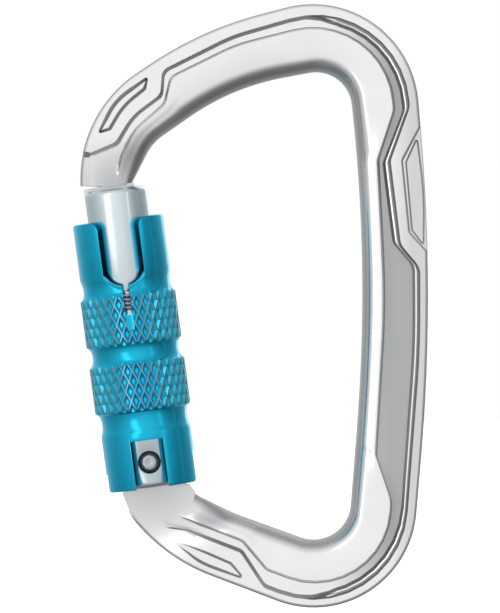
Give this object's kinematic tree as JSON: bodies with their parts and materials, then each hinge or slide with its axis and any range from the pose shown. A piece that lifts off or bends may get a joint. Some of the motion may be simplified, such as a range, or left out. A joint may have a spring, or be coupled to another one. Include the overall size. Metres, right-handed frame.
{
  "type": "locking carabiner",
  "caption": "D-shaped alloy locking carabiner with a sprung gate and a knurled lift-and-twist sleeve.",
  "frame": {"origin": "the bearing point of the top basket, the highest point of the rope space", "axes": "+Z along the load line towards the top basket, +X from the gate to the spine, +Y through the thickness"},
  "size_m": [0.059, 0.016, 0.1001],
  "materials": {
    "polished_aluminium": "tumbled and polished bright forged aluminium",
    "satin_aluminium": "turned aluminium with a clear anodised, faintly blue satin finish",
    "anodised_aluminium": "turned aluminium, teal anodised, with a diamond knurl",
    "rivet_steel": "plain steel",
    "spring_steel": "drawn spring wire"
  },
  "bodies": {
    "frame": {"frame_body": "polished_aluminium"},
    "gate": {"gate": "satin_aluminium", "gate_rivet": "rivet_steel", "gate_spring": "spring_steel", "guide_pin": "rivet_steel", "snap_ring": "spring_steel", "lift_spring": "spring_steel"},
    "plunger": {"gate_plunger": "rivet_steel"},
    "return_spring": {"return_spring": "spring_steel"},
    "sleeve": {"locking_sleeve": "anodised_aluminium", "thrust_washer": "rivet_steel"}
  },
  "joints": [
    {"name": "gate_open", "type": "hinge", "parent": "frame", "child": "gate", "pos_m": [-0.02795, 0, -0.0646], "axis": [0, 1, 0], "range_deg": [0, 28], "stiffness_Nm_per_rad": 0.5, "springref_deg": -22.92},
    {"name": "plunger_slide", "type": "slide", "parent": "gate", "child": "plunger", "axis": [-0.133, 0, 0.9911], "range_m": [0, 0.0009], "deforming": ["gate_spring"]},
    {"name": "sleeve_turn", "type": "hinge", "parent": "gate", "child": "return_spring", "pos_m": [-0.03154, 0, -0.03784], "axis": [0.133, 0, -0.9911], "range_deg": [0, 90], "stiffness_Nm_per_rad": 0.02, "springref_deg": -28.65, "deforming": ["return_spring"]},
    {"name": "sleeve_lift", "type": "slide", "parent": "return_spring", "child": "sleeve", "axis": [-0.133, 0, 0.9911], "range_m": [0, 0.0025], "stiffness_N_per_m": 400, "springref_m": -0.005, "deforming": ["lift_spring"]}
  ],
  "couplings": [
    {"joint": "plunger_slide", "follows": "gate_open", "m_per_rad": 0.00184}
  ]
}
